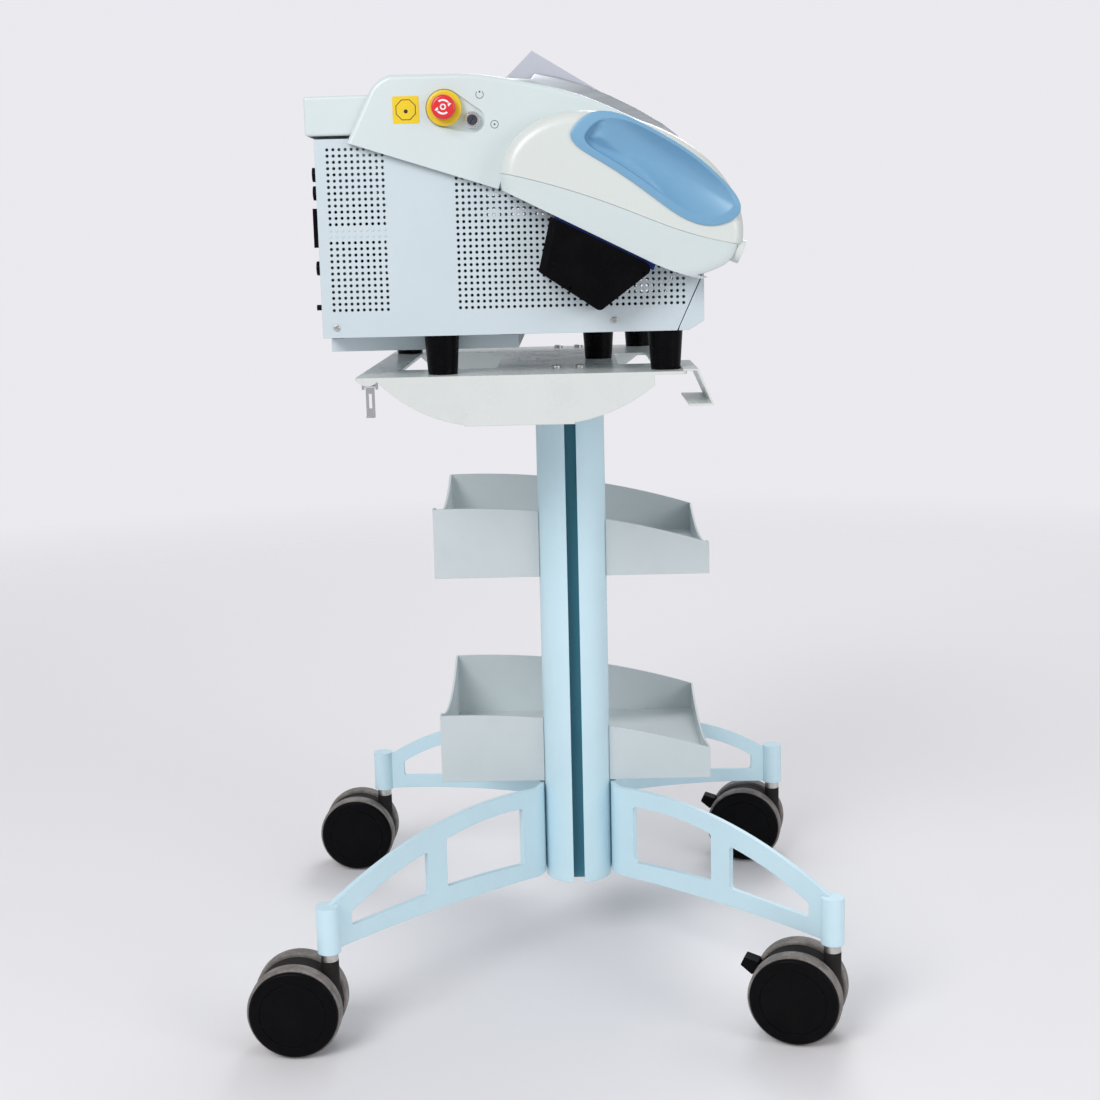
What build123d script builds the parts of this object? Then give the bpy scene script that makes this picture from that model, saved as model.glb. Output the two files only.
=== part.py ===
"""Medical laser console on a four-caster column trolley.

Frame: +Z up, +X towards the operator (front), -Y the side with the emergency stop.
The parts are drawn about the column axis, and the finished assembly is then moved so that
the centre of its footprint stands on the origin. All sizes are in millimetres.
"""
from build123d import *
import math
import os

os.makedirs("parts", exist_ok=True)

# ---------------------------------------------------------------- driving dimensions
# casters
WHEEL_R = 50.0                 # 100 mm caster wheels
CASTER_X, CASTER_Y = 266.0, 268.0    # swivel axes from the column axis
TRAIL = 36.0                   # swivel axis to wheel axis
DRUM_R, DRUM_HALF = 47.0, 11.5       # fixed hood between the twin wheels
TREAD_HALF = 28.0              # outer edge of each tread from the wheel centre plane
WHEEL_HALF = 32.5              # outer face of each wheel cover
AXLE_R, STEM_R, PIN_R = 4.0, 5.0, 2.0
RUN = 0.05                     # radial clearance of every running fit
SOCKET_R, SOCKET_Z0, SOCKET_Z1 = 12.5, 108.0, 159.0
COLLAR_Z0 = 99.0
# leg frames
LEG_T = 6.0
LEG_BEND_R = 35.0
# column
COLUMN_R, COLUMN_Z0, COLUMN_Z1 = 39.5, 88.0, 698.0
SLOT_W, SLOT_DEEP = 13.0, 18.0
# trays
TRAY_X0, TRAY_X1, TRAY_Y0, TRAY_Y1 = -162.0, 159.5, -10.0, 286.0
TRAY_REAR_H, TRAY_FRONT_H, TRAY_T = 82.0, 36.5, 2.5
TRAY_Z = {"upper": 456.0, "lower": 206.6}
# top plate
PLATE_X0, PLATE_X1, PLATE_HALF_Y = -218.0, 121.0, 224.0
PLATE_TOP, PLATE_T = 709.5, 3.0
SKIRT_T = 2.5
# console
BOX_X0, BOX_X1, BOX_HALF_Y = -250.0, 139.6, 210.0
BOX_Z0, BOX_Z1 = 750.0, 950.0
SHEET = 1.2
SHELL_HALF_Y, SHELL_T = 218.0, 3.0
POD_HALF_Y = 247.0
PERF_PITCH, PERF_R = 6.14, 1.55
PERF_X0, PERF_Z0 = -237.3, 937.6     # first hole: rearmost column, top row
PERF_ROWS = 27
ESTOP_X, ESTOP_Z = -117.4, 974.6
KEY_X, KEY_Z = -90.0, 962.7
FAN_Y, FAN_Z, FAN_SIZE, FAN_T = 95.0, 850.0, 80.0, 25.0
DISPLAY_REAR, DISPLAY_FRONT = (-30.0, 1031.0), (118.0, 941.0)
DISPLAY_HALF_Y = 186.0

CASTERS = {                    # name: side in X, side in Y, resting swivel angle
    "front_left": (1, -1, -17.0),
    "front_right": (1, 1, -12.0),
    "rear_left": (-1, -1, -2.0),
    "rear_right": (-1, 1, -2.0),
}
nodes = {}
trolley_screws = []


# ---------------------------------------------------------------- small helpers
def box(x0, x1, y0, y1, z0, z1):
    """A box from its six limits."""
    centre = Pos((x0 + x1) / 2, (y0 + y1) / 2, (z0 + z1) / 2)
    return centre * Box(x1 - x0, y1 - y0, z1 - z0)


def rod_x(r, x0, x1, y, z):
    return Pos((x0 + x1) / 2, y, z) * Rot(0, 90, 0) * Cylinder(r, x1 - x0)


def rod_y(r, y0, y1, x, z):
    return Pos(x, (y0 + y1) / 2, z) * Rot(90, 0, 0) * Cylinder(r, y1 - y0)


def rod_z(r, z0, z1, x, y):
    return Pos(x, y, (z0 + z1) / 2) * Cylinder(r, z1 - z0)


def poly(*points):
    """A flat face from corner points."""
    return make_face(Polyline(*points, close=True))


def slab(face, y0, y1):
    """A side-view face, drawn in x and z, given thickness from y0 to y1."""
    return Pos(0, y1, 0) * Rot(90, 0, 0) * extrude(face, y1 - y0)


def flip_y(shape):
    return mirror(shape, about=Plane.XZ)


def flip_x(shape):
    return mirror(shape, about=Plane.YZ)


def teardrop(x1, z1, r1, x2, z2, r2):
    """Two circles and the tangent band between them."""
    lean = math.atan2(z2 - z1, x2 - x1)
    open_angle = math.acos((r1 - r2) / math.hypot(x2 - x1, z2 - z1))
    ends = []
    for x, z, r, side in ((x1, z1, r1, 1), (x2, z2, r2, 1), (x2, z2, r2, -1), (x1, z1, r1, -1)):
        a = lean + side * open_angle
        ends.append((x + r * math.cos(a), z + r * math.sin(a)))
    return Pos(x1, z1) * Circle(r1) + Pos(x2, z2) * Circle(r2) + poly(*ends)


def add(name, *shapes):
    """Store a node made of one or more separate solids."""
    nodes[name] = [solid for shape in shapes for solid in shape.solids()]


def screw(head_r, head_h, shank_r, shank_l, cross=True):
    """A pan-head screw along +Z: head above zero, shank below."""
    head = extrude(Circle(head_r), head_h)
    head = fillet(head.faces().sort_by(Axis.Z)[-1].edges(), head_h * 0.45)
    body = head + Pos(0, 0, -shank_l / 2) * Cylinder(shank_r, shank_l)
    if cross:
        arm = head_r * 1.1
        body -= Pos(0, 0, head_h) * Box(arm, head_r * 0.22, head_h * 0.9)
        body -= Pos(0, 0, head_h) * Box(head_r * 0.22, arm, head_h * 0.9)
    return body


# ---------------------------------------------------------------- trolley
def make_column():
    profile = Circle(COLUMN_R)
    for side in (-1, 1):
        mouth = COLUMN_R - SLOT_DEEP / 2
        profile -= Pos(0, side * mouth) * Rectangle(SLOT_W, SLOT_DEEP + 1)
        profile -= Pos(0, side * (COLUMN_R - SLOT_DEEP + 4)) * Rectangle(22, 8)
        chamber = Pos(side * 25, 0) * RectangleRounded(14, 44, 5)
        profile -= chamber
    profile -= RectangleRounded(24, 30, 4)
    column = Pos(0, 0, COLUMN_Z0) * extrude(profile, COLUMN_Z1 - COLUMN_Z0)
    for z in LEG_SCREW_Z:
        for side in (-1, 1):
            column -= rod_x(3.0, min(side * 30, side * 41), max(side * 30, side * 41), 0, z)
    add("column", column)


LEG_SCREW_Z = (118.0, 138.0, 165.0, 188.0)
ROOT_X = COLUMN_R + 0.2        # inner face of the flat spine of a side plate
LEFT_BEND_Y, RIGHT_BEND_Y = -10.0, 213.0    # where the spine starts to bend
LEFT_TURN, RIGHT_TURN = 43.0, 84.0          # degrees turned by each bend


def make_leg(bend_y, turn_deg, make_outline):
    """A -Y leg: bend and straight, cut to its side view, ending at the caster socket."""
    turn = math.radians(turn_deg)
    bend_x = ROOT_X + LEG_T / 2 + LEG_BEND_R
    start_x = bend_x - LEG_BEND_R * math.cos(turn)
    start_y = -bend_y - LEG_BEND_R * math.sin(turn)
    run_x, run_y = CASTER_X - start_x, -CASTER_Y - start_y
    length = math.hypot(run_x, run_y)
    lean = math.degrees(math.atan2(run_y, run_x))
    ring = Circle(LEG_BEND_R + LEG_T / 2) - Circle(LEG_BEND_R - LEG_T / 2)
    wedge = poly((0, 0), (-80, 0), (-80 * math.cos(turn), -80 * math.sin(turn)))
    bend = Pos(bend_x, -bend_y) * (ring & wedge)
    along = Pos(start_x, start_y) * Rot(0, 0, lean)
    straight = along * Pos(length / 2, 0) * Rectangle(length, LEG_T)
    band = Pos(0, 0, 80) * extrude(bend + straight, 140)
    upright = Rot(90, 0, 0) * extrude(make_outline(length), 80, both=True)
    return band & (along * upright)


def left_leg_outline(length):
    """Side view of a long leg with its two windows, along the leg from the bend."""
    end = length + 2
    outline = make_face([
        Line((-60, 95), (-60, 204)), Line((-60, 204), (0, 204)),
        ThreePointArc((0, 204), (150, 205.5), (end, 157)), Line((end, 157), (end, 109)),
        ThreePointArc((end, 109), (165, 107), (0, 95)), Line((0, 95), (-60, 95))])
    inner_window = make_face([
        ThreePointArc((22, 186), (84, 190), (146, 184.5)), Line((146, 184.5), (146, 128)),
        ThreePointArc((146, 128), (84, 124), (22, 117)), Line((22, 117), (22, 186))])
    outer_window = make_face([
        ThreePointArc((174, 178), (232, 165), (287, 144)), Line((287, 144), (287, 128)),
        Line((287, 128), (174, 128)), Line((174, 128), (174, 178))])
    return outline - fillet(inner_window.vertices(), 4) - fillet(outer_window.vertices(), 4)


def right_leg_outline(length):
    """Side view of a short leg with its one window, along the leg from the bend."""
    end = length + 2
    outline = make_face([
        Line((-60, 106), (-60, 204)), Line((-60, 204), (0, 204)),
        ThreePointArc((0, 204), (100, 193), (end, 147)), Line((end, 147), (end, 108)),
        ThreePointArc((end, 108), (100, 111), (0, 106)), Line((0, 106), (-60, 106))])
    window = make_face([
        ThreePointArc((70, 180), (112, 171), (164, 146)), Line((164, 146), (164, 127)),
        Line((164, 127), (70, 130)), Line((70, 130), (70, 180))])
    return outline - fillet(window.vertices(), 4)


def make_leg_frame():
    """One bent side plate: a flat spine beside the column and a leg to each socket."""
    side_view = poly((-LEFT_BEND_Y, 204), (-LEFT_BEND_Y, 95), (-RIGHT_BEND_Y, 106),
                     (-RIGHT_BEND_Y, 204))
    spine = Rot(0, 0, -90) * slab(side_view, ROOT_X, ROOT_X + LEG_T)
    frame = spine + make_leg(-LEFT_BEND_Y, LEFT_TURN, left_leg_outline)
    frame += flip_y(make_leg(RIGHT_BEND_Y, RIGHT_TURN, right_leg_outline))
    for z in LEG_SCREW_Z:
        frame -= rod_x(3.1, ROOT_X - 2, ROOT_X + 8, 0, z)
    for side in (-1, 1):
        frame += rod_z(SOCKET_R, SOCKET_Z0, SOCKET_Z1, CASTER_X, side * CASTER_Y)
        frame -= rod_z(STEM_R, SOCKET_Z0 - 1, SOCKET_Z1 - 8, CASTER_X, side * CASTER_Y)
    add("leg_frame_front", frame)
    add("leg_frame_rear", flip_x(frame))

    for z in LEG_SCREW_Z:
        one = Pos(ROOT_X + LEG_T, 0, z) * Rot(0, 90, 0) * screw(5.5, 3.6, 3.0, 14)
        trolley_screws.extend([one, flip_x(one)])


def make_top_plate():
    z0 = PLATE_TOP - PLATE_T
    sheet = poly((PLATE_X0, -PLATE_HALF_Y), (PLATE_X1, -PLATE_HALF_Y),
                 (PLATE_X1, PLATE_HALF_Y), (PLATE_X0, PLATE_HALF_Y))
    sheet = fillet(sheet.vertices(), 6)
    sheet -= fillet((Pos(-129, 5) * Rectangle(102, 260)).vertices(), 6)
    sheet -= fillet((Pos(73, -20) * Rectangle(38, 175)).vertices(), 6)
    sheet -= fillet((Pos(-48, 3) * Rectangle(20, 46)).vertices(), 5)
    for side in (-1, 1):
        sheet -= Pos(-192, side * 159) * Circle(6)
    plate = Pos(0, 0, z0) * extrude(sheet, PLATE_T)

    skirt_top = z0 + 0.5
    skirt = make_face([
        Line((-197, skirt_top), (88, skirt_top)), Line((88, skirt_top), (88, 696)),
        ThreePointArc((88, 696), (52, 673.5), (9, 660)), Line((9, 660), (-112, 660)),
        ThreePointArc((-112, 660), (-160, 677.5), (-197, skirt_top))])
    tip = make_face([
        Line((-216, skirt_top), (-194, skirt_top)),
        ThreePointArc((-194, skirt_top), (-205, 701), (-216, skirt_top))])
    left = slab(skirt, -PLATE_HALF_Y, -PLATE_HALF_Y + SKIRT_T)
    left += slab(tip, -PLATE_HALF_Y, -PLATE_HALF_Y + SKIRT_T)
    left += box(-108, 6, -PLATE_HALF_Y, -PLATE_HALF_Y + 11, 658, 660.5)
    plate += left
    plate += flip_y(left)
    for x, y in PLATE_SCREWS:
        plate -= rod_z(3.1, z0 - 1, PLATE_TOP + 1, x, y)
    add("top_plate", plate)

    beam = box(-30, 30, -205, 205, COLUMN_Z1, z0) - box(-24, 24, -199, -48, COLUMN_Z1 - 1, z0 - 3)
    beam -= box(-24, 24, 48, 199, COLUMN_Z1 - 1, z0 - 3)
    beam = fillet(beam.edges().filter_by(Axis.Z).group_by(Axis.X)[-1], 5)
    for x, y in PLATE_SCREWS:
        beam -= rod_z(3.0, z0 - 6, z0 + 1, x, y)
    add("head_beam", beam)
    trolley_screws.extend(Pos(x, y, PLATE_TOP) * screw(5.5, 3.6, 3.0, 5.5) for x, y in PLATE_SCREWS)


PLATE_SCREWS = [(-12.5, -145), (12.5, -145), (-12.5, 192), (12.5, 192)]


def make_front_hook():
    """Folded strip at the front edge of the plate: down, out and back into a ledge."""
    z = PLATE_TOP
    profile = poly((117, z), (131, z), (146, 676), (123, 676), (123, 674),
                   (148.6, 674), (132.6, z + 2), (117, z + 2))
    hook = slab(profile, -222, -97)
    add("front_hook", hook)


def make_rear_clip():
    """Chrome clip swinging on a pin below the plate's rear corner."""
    y, z_top = -212.0, PLATE_TOP - PLATE_T
    pin_z = z_top - 6
    ear = box(0, 2, -4, 4, pin_z - z_top - 3.5, 0)
    lug = Pos(-212, y, z_top) * ear + Pos(-198, y, z_top) * ear
    lug += rod_x(1.5, -212, -196, y, pin_z)
    add("clip_lug", lug)
    strap = box(-208.5, -199.5, y - 0.8, y + 0.8, pin_z - 31, pin_z - 2.2)
    strap -= box(-205.6, -202.4, y - 2, y + 2, pin_z - 23, pin_z - 8)
    strap += rod_x(3.0, -208.5, -199.5, y, pin_z)
    strap += box(-208.5, -199.5, y - 4.5, y + 0.8, pin_z - 32.4, pin_z - 30.8)
    strap -= rod_x(1.5 + RUN, -213, -195, y, pin_z)
    add("rear_clip", strap)
    return y, pin_z


def make_tray(name, z0):
    """Folded tray: high at the rear, low at the front, end walls scooped out."""
    t = TRAY_T
    wall = make_face([
        Line((TRAY_X0, z0), (TRAY_X1, z0)), Line((TRAY_X1, z0), (TRAY_X1, z0 + TRAY_FRONT_H)),
        ThreePointArc((TRAY_X1, z0 + TRAY_FRONT_H), (20, z0 + 70), (TRAY_X0, z0 + TRAY_REAR_H)),
        Line((TRAY_X0, z0 + TRAY_REAR_H), (TRAY_X0, z0))])
    tray = slab(wall, TRAY_Y0, TRAY_Y1)
    tray -= box(TRAY_X0 + t, TRAY_X1 - t, TRAY_Y0 + t, TRAY_Y1 - t, z0 + t, z0 + 120)
    for x, height, dip in ((TRAY_X0, TRAY_REAR_H, 24.0), (TRAY_X1, TRAY_FRONT_H, 16.0)):
        half = (TRAY_Y1 - TRAY_Y0) / 2 - 14
        scoop_r = (half * half + dip * dip) / (2 * dip)
        scoop = rod_x(scoop_r, x - 8, x + 8, (TRAY_Y0 + TRAY_Y1) / 2, z0 + height - dip + scoop_r)
        tray -= scoop
    tray -= rod_z(COLUMN_R + 0.8, z0 - 1, z0 + 120, 0, 0)
    bracket = box(-24, 24, 24, 46, z0 - 50, z0) - rod_z(COLUMN_R + 0.05, z0 - 60, z0 + 10, 0, 0)
    bracket += box(-6.3, 6.3, 28, 42, z0 - 50, z0)
    bracket += box(-24, 24, 42, 84, z0 - 4, z0)
    screws = []
    for z in (z0 - 18, z0 - 40):
        bracket -= rod_y(3.0, 32, 50, 0, z)
        screws.append(Pos(0, 46, z) * Rot(-90, 0, 0) * screw(5.5, 3.6, 3.0, 14))
    for x in (-14, 14):
        tray -= rod_z(3.0, z0 - 1, z0 + t + 1, x, 66)
        bracket -= rod_z(3.1, z0 - 12, z0 + 1, x, 66)
        screws.append(Pos(x, 66, z0 - 4) * Rot(180, 0, 0) * screw(5.5, 3.6, 3.0, t + 3.8))
    add(name, tray)
    return bracket, screws


def make_trays():
    brackets, screws = [], []
    for level, z0 in TRAY_Z.items():
        bracket, pair = make_tray(level + "_tray", z0)
        brackets.append(bracket)
        screws += pair
    add("tray_brackets", *brackets)
    trolley_screws.extend(screws)


# ---------------------------------------------------------------- casters
def caster_place(name):
    """Location of a caster: its own frame has the swivel axis on Z and trails to -X."""
    side_x, side_y, angle = CASTERS[name]
    return Pos(side_x * CASTER_X, side_y * CASTER_Y, 0) * Rot(0, 0, angle)


PEDAL_LEAN = 153.0             # direction of the pedal from the wheel axis
PEDAL_PIVOT = 37.0             # distance of its pin from the wheel axis


def pedal_frame():
    """Side-view frame with its origin on the wheel axis and x along the pedal."""
    return Pos(-TRAIL, 0, WHEEL_R) * Rot(0, -PEDAL_LEAN, 0)


def make_housing(has_brake):
    drum = rod_y(DRUM_R, -DRUM_HALF, DRUM_HALF, -TRAIL, WHEEL_R)
    edges = drum.edges().filter_by(GeomType.CIRCLE)
    drum = fillet(edges, 1.2)
    hollow = rod_y(DRUM_R - 3.5, -DRUM_HALF + 2.8, DRUM_HALF - 2.8, -TRAIL, WHEEL_R)
    hollow -= rod_y(10, -DRUM_HALF, DRUM_HALF, -TRAIL, WHEEL_R)
    drum -= hollow
    boss = rod_z(9.4, 46, COLLAR_Z0 - 0.2, 0, 0)
    rib = box(-TRAIL, 0, -3, 3, 46, 54)
    housing = drum + boss + rib
    housing -= rod_z(STEM_R + RUN, 58, COLLAR_Z0 + 1, 0, 0)
    housing -= rod_y(AXLE_R + RUN, -20, 20, -TRAIL, WHEEL_R)
    housing -= box(-100, 40, -20, 20, 0, 15)
    if has_brake:
        window = box(DRUM_R - 16, DRUM_R + 6, -8.7, 8.7, -15, 15)
        housing -= pedal_frame() * window
        housing -= pedal_frame() * Pos(PEDAL_PIVOT, 0, 0) * Rot(90, 0, 0) * Cylinder(PIN_R + RUN, 40)
    return housing


def make_pedal():
    """Brake pedal: hub on a cross pin, neck through the hood window, flared tread."""
    arm = poly((PEDAL_PIVOT - 4, -5), (48, -5), (51, -8), (66, -5), (66, 5), (51, 8), (48, 5),
               (PEDAL_PIVOT - 4, 5))
    arm = fillet(arm.vertices().group_by(Axis.X)[-1], 1.5)
    pedal = slab(arm, -8, 8)
    pedal += rod_y(PIN_R, -DRUM_HALF + 0.3, DRUM_HALF - 0.3, PEDAL_PIVOT, 0)
    return pedal_frame() * pedal


def make_wheel_pair():
    """Two covered hubs on one axle, and their two treads."""
    tread = rod_y(WHEEL_R, DRUM_HALF + 1, TREAD_HALF, -TRAIL, WHEEL_R)
    tread = fillet(tread.edges().filter_by(GeomType.CIRCLE), 2.0)
    tread -= rod_y(41.0, 0, 40, -TRAIL, WHEEL_R)
    hub = rod_y(41.0, DRUM_HALF + 1, TREAD_HALF + 0.2, -TRAIL, WHEEL_R)
    cover = rod_y(47.5, TREAD_HALF, WHEEL_HALF, -TRAIL, WHEEL_R)
    cover = fillet(cover.faces().sort_by(Axis.Y)[-1].edges(), 3.0)
    groove = rod_y(36.0, WHEEL_HALF - 0.8, 40, -TRAIL, WHEEL_R)
    groove -= rod_y(34.5, WHEEL_HALF - 1, 41, -TRAIL, WHEEL_R)
    hub = hub + cover - groove
    hub -= rod_y(AXLE_R, 0, 24, -TRAIL, WHEEL_R)
    axle = rod_y(AXLE_R, -24, 24, -TRAIL, WHEEL_R)
    return (hub, flip_y(hub), axle), (tread, flip_y(tread))


def make_casters():
    stems = []
    hubs, treads = make_wheel_pair()
    plain, braked, pedal = make_housing(False), make_housing(True), make_pedal()
    for name in CASTERS:
        place = caster_place(name)
        braked_here = name.startswith("front")
        add(f"caster_{name}_housing", place * (braked if braked_here else plain))
        add(f"caster_{name}_hubs", *[place * h for h in hubs])
        add(f"caster_{name}_treads", *[place * t for t in treads])
        if braked_here:
            add(f"caster_{name}_pedal", place * pedal)
        stem = rod_z(STEM_R, 60, SOCKET_Z1 - 8, 0, 0) + rod_z(9.2, COLLAR_Z0, SOCKET_Z0, 0, 0)
        stems.append(place * stem)
    add("caster_stems", *stems)


# ---------------------------------------------------------------- console: box and base
def below_shell(x):
    """Height of the shell's lower edge over the side cover, or of the seam it follows."""
    return 943.6 - 0.326 * (x + 216.6) if x < -64 else 894 - 0.505 * (x + 64)


def perforated_side():
    """Side cover in x and z with its field of round holes."""
    outline = Polyline((BOX_X0, BOX_Z0), (112, BOX_Z0), (136, 803), (136, 880), (-20, 948),
                       (BOX_X0, 948), close=True)
    holes = []
    for column in list(range(0, 10)) + list(range(21, 59)):
        for row in range(PERF_ROWS):
            x, z = PERF_X0 + column * PERF_PITCH, PERF_Z0 - row * PERF_PITCH
            solid_band = column < 10 and row in (13, 14)
            if not solid_band and z < below_shell(x) + 2 * PERF_PITCH:
                holes.append(Wire.make_circle(PERF_R, Plane((x, z, 0))))
    return Face(Wire(outline.edges()), holes)


def make_box():
    inner_y = BOX_HALF_Y - SHEET
    side = slab(perforated_side(), -BOX_HALF_Y, -inner_y)
    for x, z in SIDE_SCREWS:
        side -= rod_y(2.0, -BOX_HALF_Y - 1, -inner_y + 1, x, z)
    add("left_side_cover", side)
    add("right_side_cover", flip_y(side))

    base = box(BOX_X0 + SHEET, 112, -inner_y + 0.05, inner_y - 0.05, BOX_Z0, BOX_Z0 + 2)
    for y in (-inner_y + 0.05, inner_y - 2.05):
        base += box(BOX_X0 + SHEET, 105, y, y + 2, BOX_Z0, BOX_Z0 + 14)
    for x, z in SIDE_SCREWS:
        base -= rod_y(1.8, -BOX_HALF_Y, BOX_HALF_Y, x, z)
    add("base_chassis", base)

    outer = poly((113.6, BOX_Z0), (123.8, BOX_Z0), (BOX_X1, 759.4), (BOX_X1, 880),
                 (137.2, 880), (137.2, 803), (115, 754.8))
    front = slab(outer, -BOX_HALF_Y, BOX_HALF_Y)
    inside = poly((100, BOX_Z0 + SHEET), (123.4, BOX_Z0 + SHEET), (BOX_X1 - SHEET, 760.1),
                  (BOX_X1 - SHEET, 890), (100, 890))
    front -= slab(inside, -inner_y, inner_y)
    front += box(BOX_X1 - SHEET, BOX_X1, -inner_y, inner_y, 760.4, 880)
    add("front_panel", front)

    rear = box(BOX_X0, BOX_X0 + SHEET, -inner_y, inner_y, BOX_Z0, BOX_Z1 - 2)
    for ring in range(4):
        radius = 8 + ring * 9
        count = 6 * (ring + 1)
        for k in range(count):
            a = 2 * math.pi * k / count
            rear -= rod_x(2.5, BOX_X0 - 1, BOX_X0 + 3, FAN_Y + radius * math.cos(a),
                          FAN_Z + radius * math.sin(a))
    rear -= box(BOX_X0 - 1, BOX_X0 + 3, -134, -106, 841, 882)
    for z in PORT_Z:
        rear -= rod_x(5.5, BOX_X0 - 1, BOX_X0 + 3, -120, z)
    for z in (819.5, 778):
        rear -= rod_x(3.0, BOX_X0 - 1, BOX_X0 + 3, -120, z)
    add("rear_panel", rear)

    pan = box(-248, -51.5, -165, 110, 733.5, BOX_Z0) - box(-246.8, -52.7, -163.8, 108.8, 734.7, 760)
    pan -= box(-250, -234, -170, -162, 747.2, 749)
    pan -= box(-72, -50, -170, -162, 747.2, 749)
    add("lower_pan", pan)

    feet = []
    for x, y in FEET:
        foot = Pos(x, y, PLATE_TOP) * extrude(Circle(15.3), BOX_Z0 - PLATE_TOP, taper=-3.8)
        foot = fillet(foot.edges().sort_by(Axis.Z)[0], 1.2)
        foot -= rod_z(5, PLATE_TOP - 1, PLATE_TOP + 12, x, y)
        feet.append(foot)
    add("feet", *feet)

    screws = []
    for x, z in SIDE_SCREWS:
        one = Pos(x, -BOX_HALF_Y, z) * Rot(90, 0, 0) * screw(3.2, 2.0, 1.8, 3.0)
        screws += [one, flip_y(one)]
    add("cover_screws", *screws)


SIDE_SCREWS = [(-235.4, 760.4), (48.2, 761.7)]
FEET = [(-130, -190), (101, -188), (34.5, -7), (-196, 150), (88, 198)]
PORT_Z = (917.0, 898.0)
PORT_REACH, PORT_BORE_R, PORT_DEPTH = 16.0, 4.5, 13.0


def make_rear_fittings():
    """Power inlet, two round ports, a socket cap and a ground stud, all on the rear panel."""
    x = BOX_X0
    inlet = box(x - 16, x + 18, -133.8, -106.2, 841.2, 881.8) + box(x - 3, x, -137, -103, 838, 885)
    inlet -= box(x - 17, x + 2, -130, -110, 846, 877)
    for z, y in ((854, -120), (867, -124), (867, -116)):
        inlet += box(x - 8, x + 3, y - 1, y + 1, z - 3, z + 3)
    add("power_inlet", inlet)
    ports = []
    for z in PORT_Z:
        port = rod_x(7.5, x - PORT_REACH, x, -120, z) + rod_x(5.5, x, x + 12, -120, z)
        ports.append(port - rod_x(PORT_BORE_R, x - PORT_REACH - 1, x - PORT_REACH + PORT_DEPTH, -120, z))
    ports.append(rod_x(7.5, x - 16, x, -120, 819.5) + rod_x(3.0, x, x + 8, -120, 819.5))
    ports.append(rod_x(3.0, x - 18, x + 8, -120, 778) + rod_x(5.5, x - 4, x, -120, 778))
    add("rear_ports", *ports)


def make_rear_cap():
    half = SHELL_HALF_Y - 6
    profile = fillet(poly((-258.5, BOX_Z1 + 1), (-150, BOX_Z1 + 1), (-150, 990.5),
                          (-258.5, 989.5)).vertices().group_by(Axis.X)[0], 3)
    cap = slab(profile, -half, half)
    cap = fillet(cap.edges().group_by(Axis.X)[0].filter_by(Axis.Z), 3)
    cap -= box(-256, -140, -half + 2.5, half - 2.5, 940, 987.5)
    add("rear_cap", cap)


# ---------------------------------------------------------------- console: shells
TOP_CURVE = [(-102, 1008), (-51, 1001.5), (14, 986), (74, 960), (113, 941)]


def shell_profile(inset):
    """Side view of the upper shell; the inset version is its hollow."""
    i = inset
    nose = [(113, 941 - 1.2 * i), (146 - i, 915 - i), (168 - i, 878), (171 - i, 850)]
    top = Spline([(x, z - 1.05 * i) for x, z in TOP_CURVE[:-1]] + nose,
                 tangents=[(1, 0), (-0.1, -1)])
    rear_top = (-170, 1008.2 - i)
    lean = (-194 + i, 988 - i)
    corner = (-216.6 + 1.1 * i, 943.6 - 3 * i)
    seam_front = (163 - i, 837.5 - 3 * i)
    seam_rear = (-61, 909 - 3 * i)
    low_rear = (-66, 895 - 3 * i)
    return make_face([
        Line(corner, lean), ThreePointArc(lean, (-184.5 + 0.7 * i, 1001.3 - 0.8 * i), rear_top),
        Line(rear_top, (-102, 1008 - 1.05 * i)), top,
        Line((171 - i, 850), seam_front), Line(seam_front, seam_rear), Line(seam_rear, low_rear),
        Line(low_rear, corner)])


def make_upper_shell():
    half = SHELL_HALF_Y
    shell = slab(shell_profile(0), -half, half)
    rim = shell.edges().filter_by(lambda e: abs(abs(e.center().Y) - half) < 0.01)
    upper = rim.filter_by(lambda e: e.center().Z > 960 and e.center().X < 60)
    shell = fillet(upper, 5)
    shell -= slab(shell_profile(SHELL_T), -half + SHELL_T, half - SHELL_T)
    shell -= slab(teardrop(ESTOP_X, ESTOP_Z, 18.6, KEY_X, KEY_Z, 12.4), -half - 2, -half + 6)
    opening = poly((-24, 900), (111, 900), (111, 1010), (-24, 1010))
    shell -= slab(opening, -DISPLAY_HALF_Y + 12, DISPLAY_HALF_Y - 12)
    shell -= box(-230, -140, -half + 5.4, half - 5.4, 920, 991.2)
    add("upper_shell", shell)
    plate_face = teardrop(ESTOP_X, ESTOP_Z, 21.0, KEY_X, KEY_Z, 15.0)
    plate = slab(plate_face, -half + SHELL_T, -half + SHELL_T + 2)
    for x, z, r in ((ESTOP_X, ESTOP_Z, 8.0), (KEY_X, KEY_Z, 7.0)):
        plate -= rod_y(r, -half, -half + 8, x, z)
    add("switch_plate", plate)


CHEEK_OUTLINE = [(-63, 905), (-46, 945), (0, 967), (60, 962), (120, 936), (160, 898),
                 (177, 850), (168, 818), (140, 803), (60, 800), (-30, 850)]
CHEEK_CENTRE = (57, 884)
SEAM = [(-70, 911), (-13, 897), (55, 873.5), (114.6, 850), (163, 837), (190, 833)]
SEAM_GAP = 0.3
CHEEK_WALL, CHEEK_ROUND = 4.0, 14.0


def make_cheek():
    """Left cheek of the console, rounded all round its outer face."""
    egg = make_face(Spline(CHEEK_OUTLINE, periodic=True))
    cheek = slab(egg, -POD_HALF_Y, -SHELL_HALF_Y - 0.05)
    rim = cheek.edges().filter_by(lambda e: abs(e.center().Y + POD_HALF_Y) < 0.01)
    return fillet(rim, CHEEK_ROUND)


def above_seam():
    return make_face([Spline(SEAM), Polyline(SEAM[-1], (190, 1000), (-70, 1000), SEAM[0])])


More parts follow.
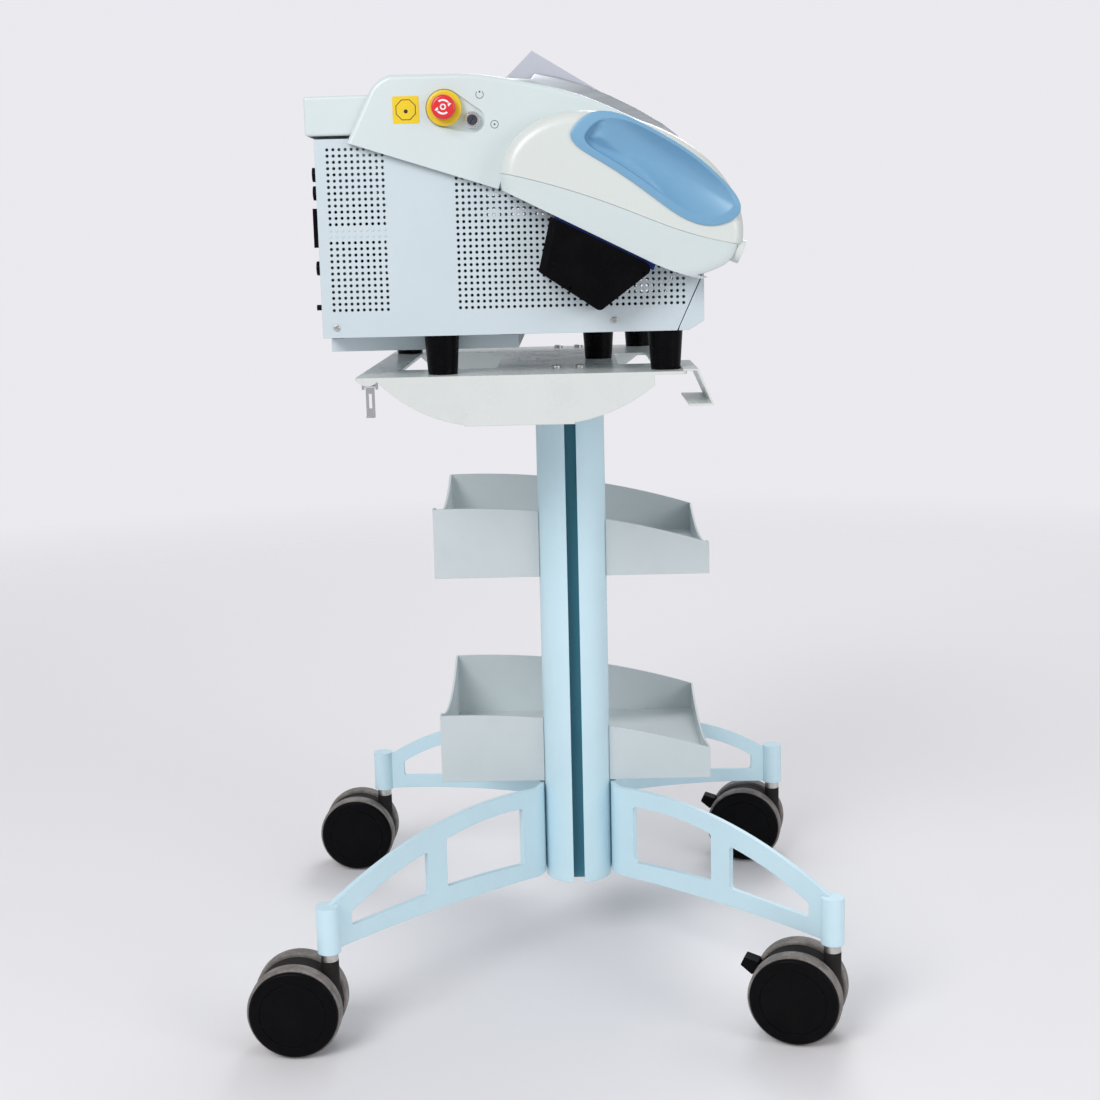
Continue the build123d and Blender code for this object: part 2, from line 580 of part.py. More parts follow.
def below_seam(lift=0.0):
    """Region between the seam and the lower edge of the cheeks, or that edge raised."""
    low = [(x, z - SEAM_GAP) for x, z in SEAM]
    return make_face([
        Spline(low), Polyline(low[-1], (190, 800 + lift), (145, 800 + lift)),
        ThreePointArc((145, 800 + lift), (113, 808 + lift), (84, 820 + lift)),
        Polyline((84, 820 + lift), (-70, 897.2 + lift), low[0])])


def dish_face(grow=0.0):
    """Outline of the blue dish: a long leaning oval, blunter at its upper end."""
    pts = [(9, 950), (25, 964), (92, 946), (152, 902), (172, 865), (155, 855), (92, 879),
           (30, 922)]
    mid = (95, 910)
    grown = []
    for x, z in pts:
        d = math.hypot(x - mid[0], z - mid[1])
        grown.append((x + grow * (x - mid[0]) / d, z + grow * (z - mid[1]) / d))
    return make_face(Spline(grown, periodic=True))


DISH_CENTRE, DISH_LEAN = (96, 912), 36.0
DISH_FLANGE = 2.0              # the dish's rim laps the pod by this much


def dish_hollow(y_mouth, depth):
    """Long rounded hollow that is scooped out of the dish."""
    ball = scale(Sphere(1), by=(70, depth, 24))
    return Pos(DISH_CENTRE[0], y_mouth, DISH_CENTRE[1]) * Rot(0, DISH_LEAN, 0) * ball


def make_pods():
    y_out = -POD_HALF_Y
    pod = make_cheek() & slab(above_seam(), y_out - 5, -200)
    hollow = poly((-50, 911), (-34, 942), (2, 959), (58, 954), (112, 930), (148, 896), (162, 862),
                  (156, 846))
    pod -= slab(hollow, y_out + CHEEK_WALL, -SHELL_HALF_Y + 1)
    pod -= slab(dish_face(-DISH_FLANGE), y_out - 1, -SHELL_HALF_Y + 1)
    add("left_pod", pod - port_cap(0.1))
    add("right_pod", flip_y(pod))
    dish = slab(dish_face(), y_out - 1.5, y_out - 0.02)
    dish += slab(dish_face(-DISH_FLANGE - 0.3), y_out - 0.02, y_out + 20)
    dish -= dish_hollow(y_out - 2, 12)
    add("left_dish", dish)
    add("right_dish", flip_y(dish))


def make_lower_shell():
    """Band below the seam: the undersides of both cheeks joined round the front."""
    half = SHELL_HALF_Y
    cheek = make_cheek()
    egg = make_face(Spline(CHEEK_OUTLINE, periodic=True))
    band = cheek + flip_y(cheek) + slab(egg, -half - 0.1, half + 0.1)
    band &= slab(below_seam(), -POD_HALF_Y - 5, POD_HALF_Y + 5)
    centre = Pos(*CHEEK_CENTRE)
    inner = centre * scale(centre.inverse() * egg, by=0.965)
    hollow = slab(inner, -POD_HALF_Y + 3, POD_HALF_Y - 3)
    hollow &= slab(below_seam(3.0), -POD_HALF_Y, POD_HALF_Y)
    hollow += Pos(0, 0, 8) * hollow
    band -= hollow
    clear_y = half + 0.05
    band -= box(-80, BOX_X1 + 2, -clear_y, clear_y, 780, 930)
    band -= port_cap(0.1)
    add("lower_shell", band)


# ---------------------------------------------------------------- console: display
def display_height(x):
    """Height of the flat display plane."""
    (x0, z0), (x1, z1) = DISPLAY_REAR, DISPLAY_FRONT
    return z0 + (z1 - z0) * (x - x0) / (x1 - x0)


def make_display():
    half = DISPLAY_HALF_Y
    lift = 0.4
    front = (117, display_height(117))
    wedge = poly((-58.6, 1003.5), DISPLAY_REAR, front, (112, 930), (-58.6, 930))
    below = Pos(0, 0, lift) * slab(shell_profile(0), -half - 20, half + 20)
    housing = slab(wedge, -half, half) - below
    slope = math.degrees(math.atan2(DISPLAY_FRONT[1] - DISPLAY_REAR[1],
                                    DISPLAY_FRONT[0] - DISPLAY_REAR[0]))
    centre_x = (DISPLAY_REAR[0] + DISPLAY_FRONT[0]) / 2 + 4
    on_plane = Pos(centre_x, 0, display_height(centre_x)) * Rot(0, -slope, 0)
    housing -= on_plane * Pos(0, 0, -3) * Box(138, 312, 6.2)
    housing -= box(-15, 100, -half + 14, half - 14, 930, 986) & (on_plane * Pos(0, 0, -28) * Box(160, 400, 40))
    add("display_housing", housing)
    add("display_glass", on_plane * Pos(0, 0, -3.6) * Box(137, 311, 4))

    strips = []
    for side in (-1, 1):
        strip = make_face([
            Spline([(118, 946), (74, 971), (24, 994), (-27.6, 1009)]),
            Polyline((-27.6, 1009), (-55, 1003.5), (-51, 960), (110, 910), (118, 946))])
        y = sorted((side * (half + 0.1), side * (half + 5)))
        strips.append(slab(strip, *y) - below)
    add("display_trim", *strips)


# ---------------------------------------------------------------- console: controls
def make_controls():
    face = -SHELL_HALF_Y + SHELL_T         # the switch plate's outer face
    collar = rod_y(17.6, face - 9, face, ESTOP_X, ESTOP_Z)
    collar = fillet(collar.faces().sort_by(Axis.Y)[0].edges(), 2.5)
    collar += rod_y(8.0, face, face + 14, ESTOP_X, ESTOP_Z)
    collar -= rod_y(5.0 + RUN, face - 12, face + 20, ESTOP_X, ESTOP_Z)
    add("estop_collar", collar)
    stem = rod_y(5.0, face - 16, face + 24, ESTOP_X, ESTOP_Z)
    stem += rod_y(7.0, face + 20, face + 24, ESTOP_X, ESTOP_Z)
    add("estop_stem", stem)
    head = rod_y(12.0, face - 22, face - 13.5, ESTOP_X, ESTOP_Z)
    head = fillet(head.faces().sort_by(Axis.Y)[0].edges(), 3.0)
    head -= rod_y(5.0 + RUN, face - 16.1, face - 10, ESTOP_X, ESTOP_Z)
    add("estop_head", head)

    bezel = rod_y(8.3, face - 5, face, KEY_X, KEY_Z) + rod_y(7.0, face, face + 16, KEY_X, KEY_Z)
    bezel = chamfer(bezel.faces().sort_by(Axis.Y)[0].edges(), 1.0)
    bezel -= rod_y(5.2 + RUN, face - 6, face + 17, KEY_X, KEY_Z)
    add("key_bezel", bezel)
    barrel = rod_y(5.2, face - 4.4, face + 20, KEY_X, KEY_Z)
    barrel -= Pos(KEY_X, face - 4.4, KEY_Z) * Rot(0, 35, 0) * Box(1.4, 8, 7.5)
    add("key_barrel", barrel)


def make_side_dock():
    """Black connector housing hung under the left pod, with a blue gasket along its top."""
    y0, y1 = -POD_HALF_Y - 2, -BOX_HALF_Y - 0.3
    outline = poly((-14.5, 866.5), (-27.5, 813), (33, 772.5), (86, 812), (80, 819.8))
    dock = slab(outline, y0, y1)
    face_edges = dock.faces().sort_by(Axis.Y)[0].edges()
    dock = chamfer(face_edges.filter_by(lambda e: e.center().X < -18), 7.0)
    corners = dock.edges().filter_by(Axis.Y).filter_by(lambda e: e.center().Z < 813)
    dock = fillet(corners.filter_by(lambda e: e.center().X > 20), 6.0)
    dock -= rod_y(1.6, y0 - 1, y0 + 6, 77, 809.5)
    dock -= rod_y(1.6, y0 - 1, y0 + 6, 4, 796.5)
    strip = poly((30, 845.2), (84, 818.6), (83, 816.8), (29, 843.4))
    dock -= slab(strip, y0 + 6, y0 + 30)
    add("side_dock", dock)


def port_cap(gap=0.0):
    """Round cap of the fibre outlet on the nose of the left pod."""
    return Pos(171.4, -231, 829) * Rot(0, 112, 0) * Cylinder(12 + gap, 9 + 2 * gap)


# ---------------------------------------------------------------- console: inside
def make_insides():
    floor = BOX_Z0 + 2
    supply = box(-215, -105, -185, -75, floor, 812)
    for k in range(8):
        x = -205 + k * 12
        supply -= box(x, x + 5, -170, -90, 811, 830)
    add("power_supply", supply)

    block = box(-85, 60, -55, 55, floor, 790)
    for k in range(12):
        y = -52 + k * 9
        block += box(-80, 55, y, y + 3, 789.5, 832)
    block += rod_x(11, 59.5, 84, 0, 771)
    add("laser_module", block)

    board = box(-200, 70, 80, 81.6, floor + 8, 870)
    for x, w in ((-150, 40), (-60, 55), (20, 28)):
        board += box(x, x + w, 75, 80.1, 790, 790 + w * 0.8)
    for x in (-190, 50):
        board += box(x, x + 10, 76, 86, floor, floor + 9)
    add("control_board", board)

    x0 = BOX_X0 + SHEET
    half = FAN_SIZE / 2
    frame = box(x0, x0 + FAN_T, FAN_Y - half, FAN_Y + half, FAN_Z - half, FAN_Z + half)
    frame = fillet(frame.edges().filter_by(Axis.X), 5)
    frame -= rod_x(half - 2.5, x0 - 1, x0 + FAN_T + 1, FAN_Y, FAN_Z)
    frame += rod_x(16, x0 + FAN_T - 3, x0 + FAN_T, FAN_Y, FAN_Z)
    for k in range(3):
        spoke = Pos(x0 + FAN_T - 1.5, 0, 0) * Rot(k * 120, 0, 0) * Pos(0, 0, 26) * Box(3, 4, 26)
        frame += Pos(0, FAN_Y, FAN_Z) * spoke
    frame += rod_x(2.0, x0 + 6, x0 + FAN_T - 2, FAN_Y, FAN_Z)
    add("fan_frame", frame)
    rotor = rod_x(15, x0 + 3, x0 + 20, FAN_Y, FAN_Z)
    for k in range(7):
        blade = Pos(x0 + 11.5, 0, 0) * Rot(k * 360 / 7, 0, 0) * Pos(0, 0, 24.5) * Rot(0, 0, 38)
        rotor += Pos(0, FAN_Y, FAN_Z) * blade * Box(15, 1.6, 21)
    rotor -= rod_x(2.0 + RUN, x0 + 5, x0 + 22, FAN_Y, FAN_Z)
    add("fan_rotor", rotor)


# ---------------------------------------------------------------- build and write
make_column()
make_leg_frame()
make_top_plate()
make_front_hook()
CLIP_Y, CLIP_Z = make_rear_clip()
make_trays()
add("trolley_screws", *trolley_screws)
make_casters()
make_box()
make_rear_fittings()
make_rear_cap()
make_upper_shell()
make_pods()
make_lower_shell()
make_display()
make_controls()
make_side_dock()
add("fibre_port_cap", port_cap())
make_insides()

every_solid = [solid for solids in nodes.values() for solid in solids]
bounds = Compound(every_solid).bounding_box()
SHIFT = (-bounds.center().X, -bounds.center().Y)
to_origin = Pos(*SHIFT, -bounds.min.Z)
for node_name, solids in nodes.items():
    moved = [to_origin * solid for solid in solids]
    export_step(moved[0] if len(moved) == 1 else Compound(moved), f"parts/{node_name}.step")
print(len(nodes), "nodes; size", bounds.size, "; shift", SHIFT, "; lowest", bounds.min.Z)
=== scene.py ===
"""Looks for a medical laser console that stands on a column trolley.

Lengths written with MM are millimetres from the column's axis at floor level: +X is the
operator's side and -Y is the side with the emergency stop.
"""
import math

import bmesh
import bpy
from mathutils import Matrix, Vector


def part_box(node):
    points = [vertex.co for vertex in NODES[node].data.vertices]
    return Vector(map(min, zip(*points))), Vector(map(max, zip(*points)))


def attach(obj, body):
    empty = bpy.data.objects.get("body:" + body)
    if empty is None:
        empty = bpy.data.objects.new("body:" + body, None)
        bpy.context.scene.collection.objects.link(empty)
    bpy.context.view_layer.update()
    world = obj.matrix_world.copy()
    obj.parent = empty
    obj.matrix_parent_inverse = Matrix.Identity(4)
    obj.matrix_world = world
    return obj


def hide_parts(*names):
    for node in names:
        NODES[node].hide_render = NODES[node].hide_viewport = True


bl_info = {
    "name": "Laser console and trolley",
    "version": (1, 0, 0),
    "blender": (4, 5, 0),
    "location": "View3D > Sidebar > Console",
    "description": "Finishes, markings and trim for a medical laser console on its trolley",
    "category": "Object",
}

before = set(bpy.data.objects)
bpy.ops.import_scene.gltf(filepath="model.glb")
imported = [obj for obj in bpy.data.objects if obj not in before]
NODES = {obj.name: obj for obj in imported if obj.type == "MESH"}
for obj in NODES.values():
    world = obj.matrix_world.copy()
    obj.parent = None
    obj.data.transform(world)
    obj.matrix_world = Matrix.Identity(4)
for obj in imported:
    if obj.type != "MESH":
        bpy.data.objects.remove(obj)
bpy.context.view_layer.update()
MM = 0.001
COLUMN_LOW, COLUMN_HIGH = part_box("column")
AXIS = Vector(((COLUMN_LOW.x + COLUMN_HIGH.x) / 2, (COLUMN_LOW.y + COLUMN_HIGH.y) / 2, 0))


def at(x, y, z):
    """A point given in millimetres from the column's axis, in the scene's metres."""
    return AXIS + Vector((x, y, z)) * MM


# ------------------------------------------------------------------ settings
def colour(name, description, default):
    return bpy.props.FloatVectorProperty(
        name=name, description=description, default=default, subtype="COLOR", min=0, max=1)


def length(name, description, default):
    return bpy.props.FloatProperty(
        name=name, description=description, default=default, unit="LENGTH", min=0)


class ConsoleColours(bpy.types.PropertyGroup):
    column: colour("Column paint", "Powder coat of the column and legs", (0.61, 0.81, 0.89))
    # Colour laid by position over the walls and floor of the column's slot.
    slot: colour("Column slot", "Darker paint inside the column's slot", (0.05, 0.27, 0.36))
    plate: colour("Plate paint", "Powder coat of the top plate", (0.69, 0.72, 0.70))
    tray: colour("Tray paint", "Powder coat of the trays", (0.59, 0.65, 0.665))
    case: colour("Case paint", "Powder coat of the sheet-metal case", (0.60, 0.68, 0.72))
    shell: colour("Shell", "Moulded upper shell", (0.66, 0.735, 0.74))
    pod: colour("Pods", "Moulded side pods", (0.68, 0.72, 0.69))
    dish: colour("Dishes", "Soft blue dishes", (0.18, 0.38, 0.57))
    black: colour("Black mouldings", "Casters, feet and sockets", (0.0015, 0.0015, 0.002))
    tread: colour("Wheel treads", "Worn grey treads", (0.27, 0.245, 0.23))
    yellow: colour("Switch collar", "Collar of the emergency stop", (0.85, 0.60, 0.01))
    red: colour("Switch button", "Button of the emergency stop", (0.75, 0.012, 0.02))
    hood: colour("Display hood", "Rear and sides of the display hood", (0.52, 0.535, 0.60))
    gasket: colour("Dock gasket", "Soft strip above the side dock", (0.006, 0.016, 0.10))
    floor: colour("Floor", "Studio floor", (0.86, 0.845, 0.86))


class ConsoleSizes(bpy.types.PropertyGroup):
    label: length("Label side", "Side of the square label", 26.4 * MM)
    symbol: length("Symbol size", "Diameter of the key position marks", 8.0 * MM)


# ------------------------------------------------------------------ shader helpers
class Value:
    """A number in a material; arithmetic on it adds Math nodes."""

    def __init__(self, shader, socket):
        self.shader = shader
        self.socket = socket

    def math(self, operation, *values):
        return self.shader.node("ShaderNodeMath", {"operation": operation}, *values)

    def __add__(self, other):
        return self.math("ADD", self, other)

    __radd__ = __add__

    def __sub__(self, other):
        return self.math("SUBTRACT", self, other)

    def __rsub__(self, other):
        return self.math("SUBTRACT", other, self)

    def __mul__(self, other):
        return self.math("MULTIPLY", self, other)

    __rmul__ = __mul__

    def __abs__(self):
        return self.math("ABSOLUTE", self)

    def below(self, limit):
        return self.math("LESS_THAN", self, limit)


class Shader:
    """A material under construction, ending in one Principled surface."""

    def __init__(self, name, **fixed):
        self.material = bpy.data.materials.new(name)
        self.material.use_nodes = True
        self.tree = self.material.node_tree
        self.tree.nodes.clear()
        end = self.tree.nodes.new("ShaderNodeOutputMaterial")
        self.surface = self.tree.nodes.new("ShaderNodeBsdfPrincipled")
        self.tree.links.new(self.surface.outputs[0], end.inputs[0])
        for socket, value in fixed.items():
            self.feed(socket.replace("_", " "), value)
        self.place = self.node("ShaderNodeTexCoord", out="Object")

    def put(self, socket, value):
        if isinstance(value, Value):
            self.tree.links.new(value.socket, socket)
        elif hasattr(value, "__len__") and len(value) == 3 and len(socket.default_value) == 4:
            socket.default_value = (*value, 1)
        else:
            socket.default_value = value

    def feed(self, name, value):
        self.put(self.surface.inputs[name], value)

    def node(self, kind, settings=None, *values, out=0, **named):
        made = self.tree.nodes.new(kind)
        for key, value in (settings or {}).items():
            setattr(made, key, value)
        for index, value in enumerate(values):
            self.put(made.inputs[index], value)
        for key, value in named.items():
            self.put(made.inputs[key.replace("_", " ")], value)
        return Value(self, made.outputs[out])

    def noise(self, scale, detail=3.0, roughness=0.55, stretch=None):
        place = self.place
        if stretch:
            place = self.node("ShaderNodeMapping", None, Vector=place, Scale=stretch)
        return self.node("ShaderNodeTexNoise", None, Vector=place, Scale=scale, Detail=detail,
                         Roughness=roughness)

    def spread(self, value, low, high, to_low=0.0, to_high=1.0):
        return self.node("ShaderNodeMapRange", None, value, low, high, to_low, to_high)

    def mix(self, amount, first, second):
        made = self.tree.nodes.new("ShaderNodeMix")
        made.data_type = "RGBA"
        for index, value in ((0, amount), (6, first), (7, second)):
            self.put(made.inputs[index], value)
        return Value(self, made.outputs[2])

    def axis(self, letter):
        return self.node("ShaderNodeSeparateXYZ", None, self.place, out=letter)

    def rounded(self, radius):
        """Surface normal with its edges softened, and a mask of those edges."""
        soft = self.node("ShaderNodeBevel", {"samples": 4}, Radius=radius)
        plain = self.node("ShaderNodeNewGeometry", out="Normal")
        same = self.node("ShaderNodeVectorMath", {"operation": "DOT_PRODUCT"}, soft, plain,
                         out="Value")
        return soft, self.spread(1 - same, 0.02, 0.25)

    def bump(self, height, distance, normal=None, strength=1.0):
        named = {"Height": height, "Distance": distance, "Strength": strength}
        if normal:
            named["Normal"] = normal
        self.feed("Normal", self.node("ShaderNodeBump", None, **named))


def shade(base, factor):
    return tuple(min(1.0, c * factor) for c in base)


def dress(material, *names):
    for name in names:
        piece = NODES[name]
        piece.data.materials.clear()
        piece.data.materials.append(material)


# ------------------------------------------------------------------ finishes
def powder_coat(name, base, edge=0.8 * MM, grain=900.0, wear=0.35, worn=(0.10, 0.13, 0.14),
                roughness=0.42, grime=0.25):
    """Baked powder coat: orange peel, faint tone drift, rubbed and chipped edges."""
    s = Shader(name, Specular_IOR_Level=0.45)
    soft, edges = s.rounded(edge)
    drift = s.noise(6.0, 4)
    smudge = s.spread(s.noise(22.0, 6, 0.62), 0.52, 0.78)
    tone = s.mix(s.spread(drift, 0.3, 0.7), shade(base, 0.965), shade(base, 1.02))
    tone = s.mix(smudge * (0.30 * grime), tone, shade(base, 0.72))
    chips = s.spread(s.noise(170.0, 4, 0.7), 0.60, 0.66)
    tone = s.mix(edges * chips * wear, tone, worn)
    specks = s.spread(s.noise(420.0, 2, 0.5), 0.755, 0.785)
    tone = s.mix(specks * grime, tone, shade(base, 0.45))
    s.feed("Base Color", tone)
    s.feed("Roughness", s.spread(smudge + 0.5 * drift, 0.0, 1.5, roughness - 0.05,
                                 roughness + 0.12))
    s.bump(s.noise(grain, 2), 0.00006, soft, 0.55)
    return s


def column_paint(colours):
    """Powder coat of the column, with its darker slot, and of the legs."""
    s = powder_coat("column_powder_coat", colours.column, wear=0.55, grime=0.35)
    base = s.surface.inputs["Base Color"].links[0].from_socket
    across = abs(s.axis("X") - AXIS.x)
    deep = abs(s.axis("Y") - AXIS.y)
    # Everything within the slot's outline is coloured darker by position, its walls and floor
    # alike.
    in_slot = across.below(6.9 * MM) * deep.below(38.6 * MM)
    s.feed("Base Color", s.mix(in_slot, Value(s, base), colours.slot))
    return s.material


def moulding(name, base, roughness=0.32, coat=0.25, grime=0.2, edge=0.6 * MM, texture=0.25):
    """Painted or plain moulded plastic: a fine pebble, soft edges, faint handling marks."""
    s = Shader(name, Coat_Weight=coat, Coat_Roughness=0.28)
    soft, edges = s.rounded(edge)
    drift = s.spread(s.noise(5.0, 3), 0.3, 0.7)
    marks = s.spread(s.noise(48.0, 6, 0.66, (1, 1, 2.2)), 0.58, 0.80)
    tone = s.mix(drift, shade(base, 0.975), shade(base, 1.015))
    tone = s.mix(marks * (0.35 * grime), tone, shade(base, 0.66))
    tone = s.mix(edges * (0.35 * grime), tone, shade(base, 0.80))
    s.feed("Base Color", tone)
    s.feed("Roughness", s.spread(marks + 0.4 * drift, 0, 1.4, roughness - 0.04, roughness + 0.14))
    s.bump(s.noise(1500.0, 2, 0.5), 0.00004, soft, texture)
    return s.material


def black_moulding(name, base, roughness=0.40, grain=1100.0, dust=0.25, depth=0.00005):
    """Spark-eroded black nylon with pale dust and scratches."""
    s = Shader(name, Specular_IOR_Level=0.08)
    soft, edges = s.rounded(0.7 * MM)
    cloud = s.spread(s.noise(30.0, 6, 0.7), 0.45, 0.78)
    lint = s.spread(s.noise(700.0, 3, 0.6), 0.66, 0.74)
    tone = s.mix(cloud * (0.06 * dust), base, (0.16, 0.15, 0.15))
    tone = s.mix(lint * (0.3 * dust), tone, (0.20, 0.19, 0.19))
    tone = s.mix(edges * s.spread(s.noise(160.0, 3), 0.5, 0.62) * (0.45 * dust), tone,
                 (0.13, 0.13, 0.13))
    s.feed("Base Color", tone)
    s.feed("Roughness", s.spread(cloud, 0, 1, roughness, roughness + 0.18))
    s.bump(s.noise(grain, 3, 0.6), depth, soft, 0.6)
    return s.material


def worn_tread(colours):
    """Grey tyre band: dusty, streaked round its rim, with dark embedded dirt."""
    s = Shader("worn_tread", Specular_IOR_Level=0.3)
    soft, edges = s.rounded(0.9 * MM)
    patch = s.spread(s.noise(55.0, 6, 0.7), 0.40, 0.70)
    grit = s.spread(s.noise(520.0, 4, 0.7), 0.57, 0.66)
    tone = s.mix(patch, shade(colours.tread, 0.62), shade(colours.tread, 1.25))
    tone = s.mix(grit * 0.6, tone, (0.045, 0.04, 0.04))
    s.feed("Base Color", tone)
    s.feed("Roughness", s.spread(patch, 0, 1, 0.62, 0.85))
    s.bump(s.noise(600.0, 4, 0.65) + edges * 0.2, 0.00025, soft, 0.8)
    return s.material


def plated_steel(name, base=(0.62, 0.61, 0.59), roughness=0.28, tarnish=0.5):
    """Zinc or nickel plate with cloudy tarnish and fine rubbing."""
    s = Shader(name, Metallic=1.0)
    soft, edges = s.rounded(0.25 * MM)
    cloud = s.spread(s.noise(140.0, 5, 0.65), 0.42, 0.72)
    tone = s.mix(cloud * tarnish, base, shade(base, 0.55))
    s.feed("Base Color", s.mix(edges * 0.3, tone, shade(base, 1.25)))
    s.feed("Roughness", s.spread(cloud, 0, 1, roughness, roughness + 0.22))
    s.bump(s.noise(1600.0, 3), 0.00002, soft, 0.5)
    return s.material


def brushed_trim():
    """Satin metallic trim, brushed along its length."""
    s = Shader("brushed_trim", Metallic=0.9)
    soft, _ = s.rounded(2.0 * MM)
    lines = s.noise(420.0, 3, 0.5, (0.05, 1, 1))
    s.feed("Base Color", s.mix(lines, (0.46, 0.49, 0.52), (0.54, 0.57, 0.60)))
    s.feed("Roughness", s.spread(lines, 0.3, 0.7, 0.33, 0.40))
    s.bump(lines, 0.000005, soft, 0.3)
    return s.material


def smoked_glass():
    """Glossy dark display cover with smears."""
    s = Shader("smoked_glass", Coat_Weight=0.6, Coat_Roughness=0.05)
    smear = s.spread(s.noise(30.0, 6, 0.6, (1, 2.5, 1)), 0.45, 0.8)
    s.feed("Base Color", s.mix(smear * 0.25, (0.012, 0.014, 0.018), (0.06, 0.065, 0.07)))
    s.feed("Roughness", s.spread(smear, 0, 1, 0.06, 0.26))
    return s.material


def circuit_board():
    """Green solder mask on the board, grey on the parts that stand on it."""
    s = Shader("circuit_board", Specular_IOR_Level=0.5)
    low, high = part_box("control_board")
    chips = s.axis("Y").below(high.y - 6.2 * MM)
    tracks = s.spread(s.noise(240.0, 2, 0.5, (1, 1, 0.15)), 0.5, 0.56)
    green = s.mix(tracks, (0.004, 0.035, 0.014), (0.008, 0.07, 0.026))
    s.feed("Base Color", s.mix(chips, green, (0.03, 0.03, 0.032)))
    s.feed("Roughness", s.spread(tracks, 0, 1, 0.3, 0.42))
    return s.material


def flat_ink(name, base, roughness=0.4):
    """Printed ink or vinyl with slight mottling."""
    s = Shader(name)
    mottle = s.noise(900.0, 3)
    s.feed("Base Color", s.mix(mottle, shade(base, 0.9), shade(base, 1.08)))
    s.feed("Roughness", s.spread(mottle, 0.3, 0.7, roughness - 0.06, roughness + 0.06))
    return s.material


class OBJECT_OT_console_finishes(bpy.types.Operator):
    """Give every CAD part of the console and trolley its finish"""
    bl_idname = "object.console_finishes"
    bl_label = "Finishes"

    def execute(self, context):
        c = context.scene.console_colours
        casters = [n for n in NODES if n.startswith("caster_")]
        dress(column_paint(c), "column", "leg_frame_front", "leg_frame_rear", "head_beam")
        # The plate's stronger smudges and specks are partly real grime and partly painted shade,
        # darkening the plate that lies in shade under the console.
        dress(powder_coat("plate_powder_coat", c.plate, wear=0.9, grime=0.7,
                          roughness=0.27).material, "top_plate", "front_hook")
        dress(powder_coat("tray_powder_coat", c.tray, wear=0.4, grime=0.45).material,
              "upper_tray", "lower_tray", "tray_brackets")
        dress(powder_coat("case_powder_coat", c.case, wear=0.25, grime=0.2).material,
              "left_side_cover", "right_side_cover", "base_chassis", "front_panel",
              "rear_panel", "lower_pan")
        dress(moulding("shell_paint", c.shell), "upper_shell", "rear_cap", "switch_plate")
        dress(moulding("display_hood_paint", c.hood, roughness=0.28), "display_housing")
        dress(moulding("pod_paint", c.pod), "left_pod", "right_pod", "fibre_port_cap")
        # The lower band takes the shell's colour darkened to 95%: painted shade on the shell's
        # own finish.
        dress(moulding("lower_band_painted_shade", shade(c.shell, 0.95)), "lower_shell")
        dress(black_moulding("black_nylon", c.black), *[n for n in casters if n.endswith("hubs")],
              *[n for n in casters if n.endswith("pedal")])
        dress(black_moulding("textured_hood", (0.020, 0.018, 0.017), roughness=0.6, grain=500.0,
                             dust=0.9, depth=0.0003),
              *[n for n in casters if n.endswith("housing")])
        dress(worn_tread(c), *[n for n in casters if n.endswith("treads")])
        dress(black_moulding("black_moulding", c.black, roughness=0.26, dust=0.2), "feet",
              "power_inlet", "rear_ports", "side_dock", "fan_frame", "fan_rotor")
        dress(plated_steel("zinc_plate"), "trolley_screws", "cover_screws", "caster_stems")
        dress(plated_steel("bright_chrome", (0.72, 0.72, 0.73), 0.12, 0.25), "key_bezel",
              "rear_clip", "clip_lug")
        dress(plated_steel("dark_alloy", (0.10, 0.10, 0.11), 0.45, 0.2), "laser_module",
              "power_supply")
        dress(plated_steel("dark_chrome", (0.13, 0.13, 0.16), 0.14, 0.3), "key_barrel")
        dress(smoked_glass(), "display_glass")
        dress(circuit_board(), "control_board")
        dress(moulding("yellow_collar", c.yellow, roughness=0.3, coat=0.4), "estop_collar")
        dress(moulding("red_button", c.red, roughness=0.28, coat=0.5), "estop_head",
              "estop_stem")
        return {"FINISHED"}


# ------------------------------------------------------------------ markings
def finish_piece(name, bm, material, body, smooth=True):
    """Turn a bmesh into a piece that rides on a body."""
    mesh = bpy.data.meshes.new(name)
    bmesh.ops.recalc_face_normals(bm, faces=bm.faces)
    bm.to_mesh(mesh)
    bm.free()
    for face in mesh.polygons:
        face.use_smooth = smooth
    piece = bpy.data.objects.new(name, mesh)
    bpy.context.scene.collection.objects.link(piece)
    piece.data.materials.append(material)
    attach(piece, body)
    return piece


SIDE_TURN = Matrix.Rotation(math.radians(90), 4, "X")   # lays an XY drawing on the -Y side


def thin_ring(bm, place, outer, inner, height, segments=48, first=0.0, last=360.0):
    """A flat ring, or part of one, that stands out along the drawing's +Z."""
    before = set(bm.verts)
    whole = last - first >= 360
    steps = max(8, int(segments * (last - first) / 360))
    corners = [bm.verts.new((r, 0, z)) for r, z in
               ((inner, 0), (outer, 0), (outer, height), (inner, height))]
    edges = [bm.edges.new((corners[i], corners[(i + 1) % 4])) for i in range(4)]
    start = Matrix.Rotation(math.radians(first), 4, "Z")
    bmesh.ops.transform(bm, matrix=start, verts=corners)
    made = bmesh.ops.spin(bm, geom=corners + edges, cent=(0, 0, 0), axis=(0, 0, 1),
                          angle=math.radians(last - first), steps=steps, use_merge=whole,
                          use_duplicate=False)
    tail = [g for g in made["geom_last"] if isinstance(g, bmesh.types.BMVert)]
    if not whole:
        bmesh.ops.contextual_create(bm, geom=corners)
        bmesh.ops.contextual_create(bm, geom=tail)
    bmesh.ops.transform(bm, matrix=place, verts=[v for v in bm.verts if v not in before])


